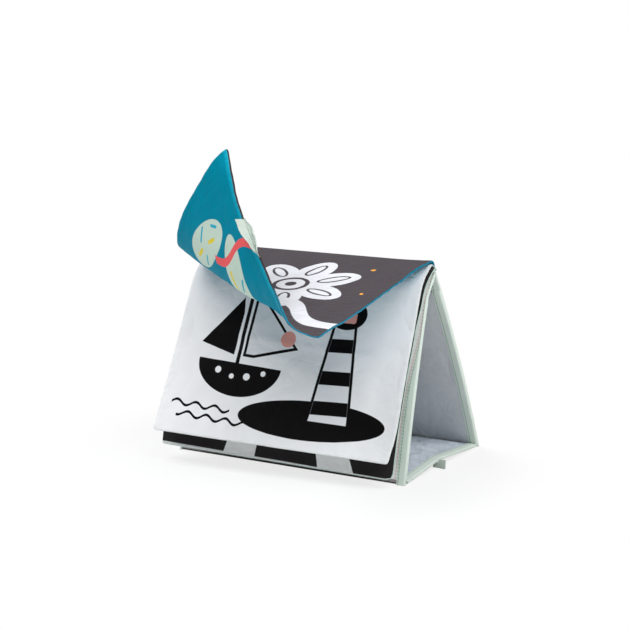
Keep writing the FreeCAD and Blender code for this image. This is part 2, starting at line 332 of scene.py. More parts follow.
def wedgeDistance(given, across, along):
    # sharp end at X, Y, opening along the shape's own Y to Width at Height
    ratio = over(times(given["Width"], 0.5), given["Height"])
    side = minus(calc("ABSOLUTE", across), times(along, ratio))
    return calc("MAXIMUM", side, minus(along, given["Height"]))


weaveLook = {"relief": 0.02, "clouds": 0.045, "threads": (0.12, 2.2, 1.0), "cloudShare": 0.7, "threadShare": 0.3}


def makeWeaveGroup():
    # plain weave: threads over and under, with slow changes of colour and slubs
    group, given, made = newGroup("plainWeave", {"Cloth": None, "Pitch": 0.5}, ("Height", "Shade"))
    waves = [calc("SINE", times(over(side, given["Pitch"]), pi)) for side in splitPlace(given["Cloth"])]
    put(made["Height"], times(times(*waves), weaveLook["relief"]))
    stretch = addNode(group, "VectorMath", {}, operation="MULTIPLY")
    put(stretch.inputs[0], given["Cloth"])
    put(stretch.inputs[1], weaveLook["threads"])
    clouds = cloudy(given["Cloth"], weaveLook["clouds"], Detail=3.0)
    threads = cloudy(stretch.outputs[0], 1.0)
    put(made["Shade"], plus(times(clouds, weaveLook["cloudShare"]), times(threads, weaveLook["threadShare"])))
    return group


crumpleLook = {"folds": ((0.028, 1.0, 3.0), (0.075, 0.35, 11.0)), "sharpness": 0.75, "height": 5.0,
               "creaseRun": 0.022, "creaseAcross": 0.17, "wobble": 0.11, "wobbleTurns": 14.0,
               "puckerFade": -0.16, "puckerRate": 0.72}


def makeCrumpleGroup():
    # soft creases of handled cloth, and puckers that fade away from a sewn edge
    look = crumpleLook
    inputs = {"Cloth": None, "Width": 200.0, "Length": 170.0, "Crumple": 0.3, "Pucker": 0.15, "Streak": 0.0,
              "Slant": 30.0}
    group, given, made = newGroup("softCrumple", inputs, ("Height",))
    x, y = splitPlace(given["Cloth"])
    parts = []
    for scale, share, seed in look["folds"]:
        fold = addNode(group, "TexNoise", {"W": seed, "Scale": scale, "Detail": 2.0, "Distortion": 0.6,
                                           "Vector": given["Cloth"]}, noise_dimensions="4D")
        parts.append(times(calc("POWER", away(fold.outputs["Fac"], 0.5), look["sharpness"]), share))
    folds = times(plus(*parts), times(given["Crumple"], look["height"]))
    # long fine creases that run one way across the cloth
    run, across = turned(x, y, given["Slant"])
    lay = addNode(group, "CombineXYZ", {"X": times(run, look["creaseRun"]), "Y": times(across, look["creaseAcross"])})
    creases = cloudy(lay.outputs[0], 1.0, Detail=2.5, Distortion=0.5)
    folds = plus(folds, times(creases, given["Streak"]))
    sideways = calc("MINIMUM", x, minus(given["Width"], x))
    endways = minus(given["Length"], y)
    wobble = cloudy(given["Cloth"], look["wobble"], Detail=1.0)
    for edge, along in ((sideways, y), (endways, x)):
        fade = calc("EXPONENT", times(edge, look["puckerFade"]))
        phase = plus(times(along, look["puckerRate"]), times(wobble, look["wobbleTurns"]))
        folds = plus(folds, times(times(calc("SINE", phase), fade), given["Pucker"]))
    put(made["Height"], folds)
    return group


stitchLook = {"gap": 0.36, "fade": -1.6, "dip": -0.28, "rise": 0.22}


def makeStitchGroup():
    # a row of stitches: Across is the distance from the row, Along runs with it
    inputs = {"Across": 0.0, "Along": 0.0, "Pitch": 2.6, "Thread": 0.45}
    group, given, made = newGroup("stitchRow", inputs, ("Mask", "Height"))
    place = calc("FRACT", over(given["Along"], given["Pitch"]))
    long = minus(times(away(place, 0.5), given["Pitch"]), times(given["Pitch"], stitchLook["gap"]))
    off = calc("ABSOLUTE", given["Across"])
    wide = minus(off, times(given["Thread"], 0.5))
    mask = tidyMask(calc("MAXIMUM", long, wide), 0.25)
    dip = times(calc("EXPONENT", times(off, stitchLook["fade"])), stitchLook["dip"])
    put(made["Mask"], mask)
    put(made["Height"], plus(dip, times(mask, stitchLook["rise"])))
    return group


groups = {"oval": printGroup("ovalPrint", ovalDistance), "bar": printGroup("barPrint", barDistance, Round=1.0),
          "wave": printGroup("wavePrint", waveDistance, Rise=3.0, Span=30.0),
          "wedge": printGroup("wedgePrint", wedgeDistance),
          "weave": makeWeaveGroup(), "crumple": makeCrumpleGroup(), "stitch": makeStitchGroup()}


def useGroup(tree, name, **values):
    node = tree.nodes.new("ShaderNodeGroup")
    node.node_tree = groups[name]
    for label, value in values.items():
        put(node.inputs[label.capitalize()], value)
    return node.outputs


def printed(cloth, shape, x, y, width, height, turn=0.0, **more):
    return useGroup(cloth.id_data, shape, cloth=cloth, x=x, y=y, width=width, height=height, turn=turn, **more)


def stamp(found, colour, cloth, shape, *place, **more):
    return paint(found, printed(cloth, shape, *place, **more)["Mask"], colour)


def sewnRow(found, colour, across, along, **more):
    # a row of stitches painted on, and its height
    row = useGroup(along.id_data, "stitch", across=across, along=along, **more)
    return paint(found, times(row["Mask"], 0.8), colour), row["Height"]


def newMaterial(name):
    material = bpy.data.materials.new(name)
    material.use_nodes = True
    return material, material.node_tree, material.node_tree.nodes["Principled BSDF"].inputs


plainCloth = {"pitch": 0.5, "crumple": 0.25, "pucker": 0.12, "streak": 0.0, "slant": 30.0, "shade": 0.16,
              "roughness": 0.78, "sheen": 0.06, "sheenRoughness": 0.45, "shine": 0.12, "relief": 0.001, "bump": 0.8}


def clothMaterial(name, colour, width, length, picture=None, surface=None, **look):
    look = {**plainCloth, **look}
    material, tree, shader = newMaterial(name)
    cloth = addNode(tree, "UVMap", {}, uv_map="UVMap").outputs["UV"]
    weave = useGroup(tree, "weave", cloth=cloth, pitch=look["pitch"])
    folds = useGroup(tree, "crumple", cloth=cloth, width=width, length=length,
                     **{part: look[part] for part in ("crumple", "pucker", "streak", "slant")})
    height = plus(weave["Height"], folds["Height"])
    found = fromHex(colour)
    if picture:
        found = picture(cloth, found)
    if surface:
        found, height = surface(cloth, found, height)
    value = plus(times(weave["Shade"], look["shade"]), 1.0 - look["shade"] / 2)
    tone = addNode(tree, "HueSaturation", {"Color": found, "Value": value})
    bump = addNode(tree, "Bump", {"Distance": look["relief"], "Strength": look["bump"], "Height": height})
    for label, value in {"Base Color": tone.outputs["Color"], "Normal": bump.outputs["Normal"],
                         "Roughness": look["roughness"], "Sheen Weight": look["sheen"],
                         "Sheen Roughness": look["sheenRoughness"], "Specular IOR Level": look["shine"]}.items():
        put(shader[label], value)
    return material


print("stage: shaders ready")

# camera, light and floor
cameraView = {"azimuth": 30.42, "elevation": 10.531, "distance": 1.31834, "lens": 91.43, "sensor": 36.0,
              "target": (-0.013996, 0.065908, 0.111354)}
studio = {"world": 0.22, "key": (30.0, 1.2, (-0.75, -0.50, 1.90)), "fill": (28.0, 1.2, (1.10, -0.40, 1.75)),
          "aim": (0, 0.05, 0.08), "floor": "F4F4F4", "floorSize": 14, "floorRoughness": 0.9,
          "shadow": 0.24, "clearFrom": 0.16, "clearBy": 0.34}


def makeCamera():
    a, e = radians(cameraView["azimuth"]), radians(cameraView["elevation"])
    back = Vector((sin(a) * cos(e), -cos(a) * cos(e), sin(e)))
    camera = bpy.data.objects.new("camera", bpy.data.cameras.new("camera"))
    camera.data.lens = cameraView["lens"]
    camera.data.sensor_width = cameraView["sensor"]
    camera.location = Vector(cameraView["target"]) + back * cameraView["distance"]
    camera.rotation_euler = back.to_track_quat("Z", "Y").to_euler()
    bpy.context.collection.objects.link(camera)
    bpy.context.scene.camera = camera


def softLamp(name, power, size, place):
    lamp = bpy.data.lights.new(name, "AREA")
    lamp.energy, lamp.size = power, size
    holder = bpy.data.objects.new(name, lamp)
    holder.location = place
    holder.rotation_euler = (Vector(place) - Vector(studio["aim"])).to_track_quat("Z", "Y").to_euler()
    bpy.context.collection.objects.link(holder)


def cameraRay(tree):
    return tree.nodes.new("ShaderNodeLightPath").outputs["Is Camera Ray"]


def makeWorld():
    # plain white where it is seen, and a gentler light on the book
    world = bpy.data.worlds.new("studio")
    bpy.context.scene.world = world
    world.use_nodes = True
    back = world.node_tree.nodes["Background"].inputs
    put(back["Color"], (1, 1, 1, 1))
    put(back["Strength"], plus(times(cameraRay(world.node_tree), 1.0 - studio["world"]), studio["world"]))


def makeFloor():
    clearSelection()
    bpy.ops.mesh.primitive_plane_add(size=studio["floorSize"], location=(0, 0, 0))
    floor = bpy.context.object
    floor.name = "floor"
    material, tree, shader = newMaterial("floorPaper")
    put(shader["Base Color"], fromHex(studio["floor"]))
    put(shader["Roughness"], studio["floorRoughness"])
    put(shader["Specular IOR Level"], 0.0)
    # the camera sees mostly plain white, and only that away from the book's own faint shadow
    far = addNode(tree, "VectorMath", {}, operation="LENGTH")
    put(far.inputs[0], tree.nodes.new("ShaderNodeTexCoord").outputs["Object"])
    near = over(minus(far.outputs["Value"], studio["clearBy"]), studio["clearFrom"] - studio["clearBy"])
    kept = times(calc("MINIMUM", calc("MAXIMUM", near, 0.0), 1.0), studio["shadow"])
    mixed = tree.nodes.new("ShaderNodeMixShader")
    put(mixed.inputs[0], times(cameraRay(tree), minus(1.0, kept)))
    put(mixed.inputs[1], tree.nodes["Principled BSDF"].outputs[0])
    put(mixed.inputs[2], tree.nodes.new("ShaderNodeEmission").outputs[0])
    put(tree.nodes["Material Output"].inputs["Surface"], mixed.outputs[0])
    setMaterials(floor, material)


makeCamera()
makeWorld()
softLamp("keyLamp", *studio["key"])
softLamp("fillLamp", *studio["fill"])
makeFloor()
bpy.context.scene.view_settings.view_transform = "Standard"
print("stage: camera and light set")

# covers
ridge = {"y": 47.877, "height": 159.0, "pagesZ": 159.665, "gap": 0.16, "past": 12.0, "footAt": 0.3}
layers = {"cloth": 0.6, "roof": 1.3, "cover": 3.0}
halfWidth = 105.0
clothEnd = halfWidth - layers["cloth"]
clothWide = 2 * clothEnd
coverLook = {"white": "F4F4F5", "hatch": "D3DDD7", "hatchEvery": 9.0, "hatchWide": 1.4, "hatchShare": 0.55,
             "hatchSlant": (0.8, 0.6), "hatchSoft": 0.6, "margins": (26.0, 20.0), "corners": 6.0,
             "pinkThread": "E6CAC3", "pinkRow": 0.9, "pinkWidth": 1.1,
             "footBand": "9B9598", "footEdge": "332E30", "footFrom": 5.8, "edgeFrom": 3.4, "hem": 2.0,
             "lining": "D2D6DB", "board": "8C8273", "fibre": "A59B8A", "fibreScale": 420.0}
tapeLook = {"mint": "DFECE3", "thread": "769C8C", "threadWidth": 0.9, "rowIn": 1.7, "ribRate": 7.5, "ribs": 0.025,
            "band": 7.4, "turned": 4.2, "thick": 0.42, "stand": 1.2, "flat": 0.4, "nose": 0.9,
            "swell": 0.10, "swellSize": 5.0, "bands": (0.5, 7.4), "taper": (38.0, 112.0), "leftShare": 0.35,
            "least": 0.5, "cut": 1.6, "pastFoot": 0.6, "inBase": 0.3, "floor": 0.3, "laidOut": 400.0}
# how each cloth hangs off its line: rise, size, middle and seeds of its waves, where they fade, and its lowest place
coverHang = {"face": {"rise": 0.22, "size": 26.0, "middle": -0.5, "seeds": {-1: 2, 1: 5}, "cuts": (60, 62),
                      "ends": ((4, 30), (2, 25)), "hemDrop": 0.2, "floor": 0.06},
             "lining": {"rise": -0.9, "size": 38.0, "middle": 0.5, "seeds": {-1: 14, 1: 9}, "cuts": (60, 60),
                        "ends": ((6, 40), (2, 20)), "sides": ((2, 16), (2, 16)), "floor": 0.35}}
coverSizes = {"front": {"roof": 21.0, "roofLean": 37.5, "meanLean": 13.5, "knee": 14.0, "bow": 1400.0, "facing": -1},
              "back": {"roof": 18.5, "roofLean": 34.2, "meanLean": 27.8, "knee": 14.0, "bow": 1080.0, "facing": 1}}


def coverShape(roof, roofLean, meanLean, knee, bow, facing):
    # a straight roof at the ridge, a knee, and a bowed panel that is drawn past the table and cut there
    drop = ridge["height"] - roof * cos(radians(roofLean)) + ridge["past"]
    halfBow = degrees(drop / cos(radians(meanLean)) / 2 / bow)
    kneeTurn = meanLean + halfBow - roofLean
    line = sectionLine(0.0, ridge["height"], roofLean, [(roof,), (knee, kneeTurn), (bow, -2 * halfBow)])
    kneeEnd = roof + knee * radians(abs(kneeTurn))
    foot = next(s for s, p, z, lean in line if z < ridge["footAt"])
    return {"line": line, "facing": facing, "roof": roof, "kneeEnd": kneeEnd, "foot": foot}


covers = {part: coverShape(**sizes) for part, sizes in coverSizes.items()}


def coverPoint(cover, s, depth):
    p, z, lean = onLine(cover["line"], s)
    a = radians(lean)
    return ridge["y"] + cover["facing"] * (p - depth * cos(a)), z - depth * sin(a)


def liningDepth(cover, s):
    return layers["roof"] + (layers["cover"] - layers["roof"]) * blendTo(cover["roof"], cover["kneeEnd"], s)


def besideRidge(cover, y):
    # the two covers' cloths meet at the ridge and never cross
    if cover["facing"] < 0:
        return min(y, ridge["y"] - ridge["gap"])
    return max(y, ridge["y"] + ridge["gap"])


def waveSum(u, s, waves):
    # waves are height, size, stretch down the cloth, and seed
    return sum(height * softNoise(u, s * stretch, size, seed) for height, size, stretch, seed in waves)


def settle(piece, body, node):
    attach(piece, body)
    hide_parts(node)
    return piece


def makeCoverCloth(part, kind, name, material, past=0.0):
    # down the cover, and for the outer cloth then turned in along the table as the hem
    cover, hang = covers[part], coverHang[kind]
    length, facing = cover["foot"] + past, cover["facing"]
    outside = kind == "face"

    def place(u, s):
        s = max(s, 0.0)
        y, z = coverPoint(cover, min(s, cover["foot"]), 0.0 if outside else liningDepth(cover, s))
        if s > cover["foot"]:
            y, z = y - facing * (s - cover["foot"]), z - hang["hemDrop"]
        calm = insideEdges(s, length, *hang["ends"])
        if not outside:
            calm *= insideEdges(u, clothWide, *hang["sides"])
        waves = softNoise(u, s, hang["size"], hang["seeds"][facing]) + hang["middle"]
        y = besideRidge(cover, y + facing * hang["rise"] * calm * waves)
        return (-facing if outside else facing) * (u - clothEnd), y, max(z, hang["floor"])

    piece = makeCloth(name, (clothWide, length), hang["cuts"], place, layers["cloth"], material)
    return settle(piece, part + "_cover", part + "_cover_" + kind)


def makeBoardMaterial():
    material, tree, shader = newMaterial("greyBoard")
    place = tree.nodes.new("ShaderNodeTexCoord").outputs["Object"]
    fibre = cloudy(place, coverLook["fibreScale"], Detail=4.0)
    put(shader["Base Color"], paint(coverLook["board"], fibre, coverLook["fibre"]))
    put(shader["Roughness"], 0.85)
    return material


def coverPicture(length, pinkRow):
    look = coverLook

    def picture(cloth, base):
        u, s = splitPlace(cloth)
        # faint slanting hatch, printed on the panel
        slant = plus(times(u, look["hatchSlant"][0]), times(s, look["hatchSlant"][1]))
        line = times(away(calc("FRACT", over(slant, look["hatchEvery"])), 0.5), look["hatchEvery"])
        hatch = times(tidyMask(minus(line, look["hatchWide"]), look["hatchSoft"]), look["hatchShare"])
        size = (clothWide - look["margins"][0], length - look["margins"][1])
        inside = printed(cloth, "bar", clothEnd, length / 2, *size, round=look["corners"])
        found = paint(base, times(hatch, inside["Mask"]), look["hatch"])
        if pinkRow:
            # a pinkish row of stitches beside the tape at both ends
            taper = dict(zip(("From Min", "From Max", "To Min", "To Max"), (*tapeLook["taper"], *tapeLook["bands"])))
            grow = addNode(cloth.id_data, "MapRange", {"Value": s, **taper}, interpolation_type="SMOOTHSTEP")
            fromEnd = calc("MINIMUM", u, minus(clothWide, u))
            beside = minus(minus(fromEnd, grow.outputs["Result"]), look["pinkRow"])
            found, _ = sewnRow(found, look["pinkThread"], beside, s, thread=look["pinkWidth"])
        # a grey band along the foot, and a darker band at its lower edge
        for start, colour in (("footFrom", "footBand"), ("edgeFrom", "footEdge")):
            found = paint(found, calc("GREATER_THAN", s, length - look[start]), look[colour])
        return found
    return picture


boardMaterial = makeBoardMaterial()
for part, cover in covers.items():
    length = cover["foot"] + coverLook["hem"]
    outer = clothMaterial(part + "CoverCloth", coverLook["white"], clothWide, length, crumple=0.10, pucker=0.10,
                          picture=coverPicture(length, part == "front"))
    inner = clothMaterial(part + "LiningCloth", coverLook["lining"], clothWide, cover["foot"], crumple=0.6,
                          pucker=0.35, roughness=0.7)
    makeCoverCloth(part, "face", part + "CoverCloth", outer, coverLook["hem"])
    lining = makeCoverCloth(part, "lining", part + "CoverLining", inner)
    setMaterials(bpy.data.objects[part + "_cover_board"], boardMaterial)
print("stage: covers made")

# binding tapes: u runs across the folded tape, with a stitched row near each inner edge
tapeWide = 2 * tapeLook["band"] + tapeLook["turned"]
ends = (("Left", -1), ("Right", 1))


def tapeSurface(cloth, base, height):
    u, s = splitPlace(cloth)
    near = calc("MINIMUM", minus(u, tapeLook["rowIn"]), minus(tapeWide - tapeLook["rowIn"], u))
    found, raised = sewnRow(base, tapeLook["thread"], near, s, thread=tapeLook["threadWidth"])
    ribs = times(calc("SINE", times(s, tapeLook["ribRate"])), tapeLook["ribs"])
    return found, plus(plus(height, raised), ribs)


def makeTape(name, side, length, bandAt, deepAt, pointAt, seed, flipped):
    # half round where it turns over the end, flat on both faces
    look = tapeLook
    flat, nose = look["flat"], look["nose"]

    def place(u, s):
        band, deep = bandAt(s), deepAt(s)
        t = u / tapeWide
        if t < flat:
            x, depth = halfWidth - nose - max(look["least"], band - nose) * (1 - t / flat), 0.0
        elif t > 1 - flat:
            x, depth = halfWidth - look["band"] + (look["band"] - nose) * (1 - t) / flat, deep
        else:
            turn = (t - flat) / (1 - 2 * flat) * pi
            x, depth = halfWidth - nose + nose * sin(turn), deep / 2 - deep / 2 * cos(turn)
        swell = look["swell"] * softNoise(s, u * 2, look["swellSize"], seed)
        y, z = pointAt(s, depth - layers["cloth"] + swell * (1 if depth > deep / 2 else -1))
        return side * x, y, max(z, look["floor"])

    cuts = (24, max(30, int(length / look["cut"])))
    return makeCloth(name, (tapeWide, length), cuts, place, look["thick"], tapeCloth, flipped=flipped)


def makeCoverTape(part, cover, end, side, seed):
    def bandAt(s):
        if part == "back":
            return tapeLook["band"]
        low, high = tapeLook["bands"]
        return (low + (high - low) * blendTo(*tapeLook["taper"], s)) * (1.0 if side > 0 else tapeLook["leftShare"])

    def pointAt(s, depth):
        y, z = coverPoint(cover, s, depth)
        return besideRidge(cover, y), z

    piece = makeTape(part + "Tape" + end, side, cover["foot"] + tapeLook["pastFoot"], bandAt,
                     lambda s: liningDepth(cover, s) + tapeLook["stand"], pointAt, seed, side * cover["facing"] > 0)
    return settle(piece, part + "_cover", part + "_binding_" + end.lower())


tapeCloth = clothMaterial("mintTape", tapeLook["mint"], tapeWide, tapeLook["laidOut"], surface=tapeSurface,
                          pitch=0.4, crumple=0.12, pucker=0.0, roughness=0.6, sheen=0.2, shade=0.12)
seed = 20
for part, cover in covers.items():
    tapes = []
    for end, side in ends:
        seed += 1
        tapes.append(makeCoverTape(part, cover, end, side, seed))
    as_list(tapes)
print("stage: binding tapes made")

# base
baseShape = {"front": 3.4, "back": 129.6, "lift": 1.0, "rise": 6.4, "share": 0.45, "radius": 5.0, "cloth": 1.6,
             "thinner": 0.2, "colour": "C4CDD7", "sides": ((6, 18), (6, 18)), "ends": ((1, 14), (1, 14)),
             "waves": ((1.6, 24.0, 1.0, 31), (0.9, 10.0, 1.0, 33)),
             # slanting folds: height, level, size and seed
             "folds": (4.6, 0.45, 11.0, 35),
             # each part's cover, and the way it gathers against it: axis y and z, anchor y and z
             "parts": {"Front": ("front_cover", 0.9785, -0.206, 3.5, 1.0),
                       "Back": ("back_cover", 0.896, 0.443, 129.4, 1.0)}, "gathered": 0.02}
creaseY = baseShape["front"] + (baseShape["back"] - baseShape["front"]) * baseShape["share"]


def baseLine():
    b = baseShape
    rise = b["rise"] - b["lift"]
    up = degrees(atan2(rise, creaseY - b["front"]))
    down = degrees(atan2(rise, b["back"] - creaseY))
    cut = b["radius"] * tan(radians((up + down) / 2))
    first = hypot(rise, creaseY - b["front"]) - cut
    second = hypot(rise, b["back"] - creaseY) - cut
    return sectionLine(0.0, b["lift"] + b["cloth"], 90 + up, [(first,), (b["radius"], -up - down), (second,)])


baseRun = baseLine()
baseLength = baseRun[-1][0]


def basePoint(s, depth):
    p, z, lean = onLine(baseRun, s)
    a = radians(lean)
    return baseShape["front"] + p - depth * cos(a), z - depth * sin(a)


def gather(piece, end):
    body, axisY, axisZ, anchorY, anchorZ = baseShape["parts"][end]
    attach(piece, body)
    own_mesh(piece)


def foldAtCrease(piece, node):
    # cut at the crease: as the covers close, one part goes with the front cover and the other with the back one
    parts = []
    for end in baseShape["parts"]:
        part = piece.copy()
        part.data = piece.data.copy()
        part.name = piece.name + end
        bpy.context.collection.objects.link(part)
        editAll(part)
        bpy.ops.mesh.bisect(plane_co=(0, creaseY / 1000, 0), plane_no=(0, 1, 0), use_fill=True,
                            clear_outer=end == "Front", clear_inner=end == "Back")
        bpy.ops.mesh.mark_sharp()
        clearSelection()
        gather(part, end)
        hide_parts(node)
        parts.append(part)
    bpy.data.objects.remove(piece)
    return parts


def basePlace(u, s):
    y, z = basePoint(s, 0.0)
    calm = insideEdges(u, clothWide, *baseShape["sides"]) * insideEdges(s, baseLength, *baseShape["ends"])
    height, level, *folds = baseShape["folds"]
    fold = level - abs(softNoise(u * 0.5 + s * 0.8, s * 0.5 - u * 0.35, *folds))
    return clothEnd - u, y, z + calm * (waveSum(u, s, baseShape["waves"]) + height * fold)


baseCloth = clothMaterial("baseCloth", baseShape["colour"], clothWide, baseLength, crumple=1.1, pucker=0.6,
                          roughness=0.7, streak=3.2, slant=62.0)
basePiece = makeCloth("basePanel", (clothWide, baseLength), (60, 44), basePlace,
                      baseShape["cloth"] - baseShape["thinner"], baseCloth)
basePanels = foldAtCrease(basePiece, "base_panel")
baseTapes = []
for end, side in ends:
    seed += 1
    piece = makeTape("baseTape" + end, side, baseLength - 2 * tapeLook["inBase"], lambda s: tapeLook["band"],
                     lambda s: baseShape["cloth"] + tapeLook["stand"],
                     lambda s, depth: basePoint(s + tapeLook["inBase"], depth), seed, side > 0)
    baseTapes.append(foldAtCrease(piece, "base_binding_" + end.lower()))
print("stage: base made")

# pages
pageLook = {"charcoal": "474146", "petal": "DCDEE4", "light": "F0F0F2", "sail": "E4E5E8", "ink": "0C0A0B",
            "blackCloth": "2A2728", "ray": "F0F1F2", "borderCloth": "DDE1E2", "paleBack": "C9DCD3",
            "mintRim": "C2DAD0", "paleRim": "DFE8E4", "teal": "00809A", "tealRim": "0F82A0",
            "tealGleam": "12A6C2", "tealLine": "2FA6BF", "darkRim": "3A3539", "pipingCloth": "0B5F78",
            "mint": "BFD3C6", "yellow": "DCCB3F", "coral": "E65F62", "softCoral": "E29C92", "orange": "E9A33B"}
page = {"width": 204.0, "laidOut": 172.0, "thick": 1.1, "edge": 1.55, "seam": (2.5, 6.5), "step": 1.5, "curl": 2.3,
        "root": 1.8, "rootStep": 0.4, "rootTurn": -125.0, "half": 0.6, "creaseLevel": 0.2, "plainRim": (0, 6)}


def rootShape(order):
    # pages are sewn in one behind the other: place, radius and height of each one's curl
    return (page["step"] * (1 - order), page["curl"] + page["step"] * order - page["half"],
            page["root"] + page["rootStep"] * order)


hangingPages = {
    "middlePage": {"order": 1, "corners": (1.0, 1.0), "wider": (0.0, ((0.0, 1.7), (1.0, 0.6))),
                   "left": [(8.0,), (70.0, -28.0), (104.0,), (300.0, 1.0), (12.0,)],
                   "right": [(8.0,), (30.0, -35.7), (100.0,), (60.0, 16.0), (16.5,)],
                   "free": (18, 70), "waves": ((1.2, 46.0, 0.7, 41), (0.55, 19.0, 1.0, 42)),
                   "creases": (1.1, 1.6, 1.0, 21.0, 43, (8, 48)), "puckers": (0.16, 6, 0.55, 0.0, 2, 20, 5),
                   "puckerRate": 0.5, "press": (0.5, 84, 0.03, 2.6), "pressFrom": (40, 80),
                   "dent": (-0.9, 186, 10, 128, 26)},
    "innerPage": {"order": 0, "corners": (1.5, 6.0),
                  "wider": (0.9, ((0.05, 4.5), (0.2, 2.6), (0.35, 0.6), (0.55, -0.6), (1.0, -0.6))),
                  "left": [(6.0,), (60.0, -31.0), (80.0,), (150.0, -12.0), (20.4,)],
                  "right": [(6.0,), (26.0, -36.0), (104.0,), (200.0, -5.0), (25.0,)],
                  "free": (18, 80), "waves": ((0.8, 40.0, 0.7, 51), (0.3, 15.0, 1.0, 52)),
                  "calm": 0.8, "calmFrom": (170, 200), "back": -1.2, "backFrom": (150, 204), "backDown": (30, 90)},
}


def cornerRound(u, s, length, corners):
    # pulls the square grid's free corners in to a round, left and right
    onLeft = u < page["width"] / 2
    radius = corners[0] if onLeft else corners[1]
    cornerU = radius if onLeft else page["width"] - radius
    du, ds = u - cornerU, s - (length - radius)
    if ds <= 0 or du == 0 or (du < 0) != onLeft:
        return u, s
    scale = max(abs(du), ds) / hypot(du, ds)
    return cornerU + du * scale, length - radius + ds * scale


def toEdge(u, s, length):
    return min(u, page["width"] - u, length - s)


def makePage(name, length, cuts, place, materials):
    # the turned-in seam stands a little thicker than the rest of the page
    def weightAt(u, s):
        return 1.0 - (1.0 - page["thick"] / page["edge"]) * blendTo(*page["seam"], toEdge(u, s, length))

    piece = makeCloth(name, (page["width"], length), cuts, place, page["edge"], *materials, offset=0.0,
                      weightAt=weightAt, slots=(1, 2))
    return settle(piece, "front_cover", "pages")


def makeHangingPage(name, materials, waves):
    spec = hangingPages[name]
    start, radius, upright = rootShape(spec["order"])
    root = [(upright,), (radius, page["rootTurn"])]
    lines = [sectionLine(start, ridge["pagesZ"], 180.0, root + spec[side]) for side in ("left", "right")]
    lengths = [line[-1][0] for line in lines]
    length = sum(lengths) / 2

    def place(u, s):
        gu, gs = cornerRound(u, s, length, spec["corners"])
        share, t = gu / page["width"], gs / length
        spots = [onLine(line, t * whole) for line, whole in zip(lines, lengths)]
        p, z, lean = [a + (b - a) * share for a, b in zip(*spots)]
        a = radians(lean)
        off = waves(gu, gs, length)
        x = gu - page["width"] / 2 - spec["wider"][0] * (1 - share) + between(spec["wider"][1], t) * share
        return x, ridge["y"] - (p + off * cos(a)), z + off * sin(a)

    piece = makePage(name, length, (72, 66), place, materials)


def edgeCreases(u, s, near, creases):
    # sharper creases that come in from the sewn edges
    height, across, down, size, seed, reach = creases
    sharp = abs(softNoise(u * across, s * down, size, seed)) - page["creaseLevel"]
    return height * sharp * (1 - blendTo(*reach, near)) * blendTo(*page["plainRim"], near)


def edgePuckers(u, s, near, puckers):
    # small puckers right at the seam
    height, reach, across, down, stray, size, seed = puckers
    phase = u * across + s * down + stray * softNoise(u, s, size, seed)
    return height * (1 - blendTo(0, reach, near)) * sin(phase)


def middleWaves(u, s, length):
    spec = hangingPages["middlePage"]
    near = toEdge(u, s, length)
    # an old press fold across the page, and a dent near its right edge
    height, place, slope, wide = spec["press"]
    pressed = height * exp(-((s - place - slope * u) / wide) ** 2)
    depth, dentU, wide, dentS, high = spec["dent"]
    dent = depth * exp(-((u - dentU) / wide) ** 2 - ((s - dentS) / high) ** 2)
    pucker = edgePuckers(u, s, near, spec["puckers"]) * sin(s * spec["puckerRate"])
    total = waveSum(u, s, spec["waves"]) + edgeCreases(u, s, near, spec["creases"]) + dent + pucker
    return blendTo(*spec["free"], s) * total + pressed * blendTo(*spec["pressFrom"], s)


def innerWaves(u, s, length):
    spec = hangingPages["innerPage"]
    calm = 1 - spec["calm"] * blendTo(*spec["calmFrom"], u)
    back = spec["back"] * blendTo(*spec["backFrom"], u) * blendTo(*spec["backDown"], s)
    return blendTo(*spec["free"], s) * calm * waveSum(u, s, spec["waves"]) + back


# prints: x, y, width, height and turn of each shape
boatPrint = {"island": (132, 146, 124, 32, -2), "tower": (146, -30, 38, 178), "towerCut": (146, 104, 60, 88),
             "stripeRows": (84, 110, 134), "stripe": (44, 11, -3), "roof": (146, 58, 34, 26), "lamp": (146, 61, 17, 9),
             "hull": (62, 108, 74, 54, 2), "deck": (62, 92, 90, 32, 2), "mast": (60, 78, 3.2, 62, 1),
             "portholes": ((44, 115, 5.5), (57, 119, 4.2), (70, 118, 5.8), (84, 114, 4.4)),
             "bigSail": ((66, 46, 60, 56, -16), (92, 70, 56, 66, 2)),
             "smallSail": ((54, 54, 40, 46, 14), (36, 72, 40, 60, 2)), "sun": (100, 84, 13, 13),
             "water": ((36, 146, 52, 2.2, 2), (48, 155, 62, 2.2, 2)), "waterWave": {"rise": 2.0, "span": 17.0},
             "line": 2.4}
rayPrint = {"turns": (-74, -46, -19, 10, 38, 66), "ray": (100, 12, 32, 190), "border": (200, 86, 20, 200),
            "lightFrom": 172.4, "lightNarrows": 0.009}
flowerPrint = {"middle": (124.0, 88.0), "turn": 20.0, "petals": 7, "petal": (31, 46, 28), "vein": (33, 27, 11),
               "veinLine": 2.2, "rings": ((29, "charcoal"), (22, "petal"), (9, "charcoal")),
               "stem": (162, 142, 104, 14, 24), "stemWave": {"rise": 7.0, "span": 80.0},
               "dots": ((62, 60, 4.5), (50, 96, 3.2), (172, 44, 4.0), (188, 92, 3.0)), "piping": 0.9}
leafPrint = {"leaves": ((46, 118, 34, 64, -24), (104, 136, 30, 78, 62)),
             "dashes": {"yellow": ((42, 104, 3.2, 14, -20), (52, 128, 3.2, 12, -30), (96, 132, 3.4, 15, 58)),
                        "tealLine": ((36, 118, 2.6, 13, 32), (54, 108, 2.4, 10, 20), (46, 138, 2.4, 11, -50),
                                     (110, 142, 2.4, 11, 20), (120, 132, 2.4, 9, 70))},
             "stem": (84, 150, 64, 6.5, 58), "stemWave": {"rise": 4.5, "span": 60.0}}


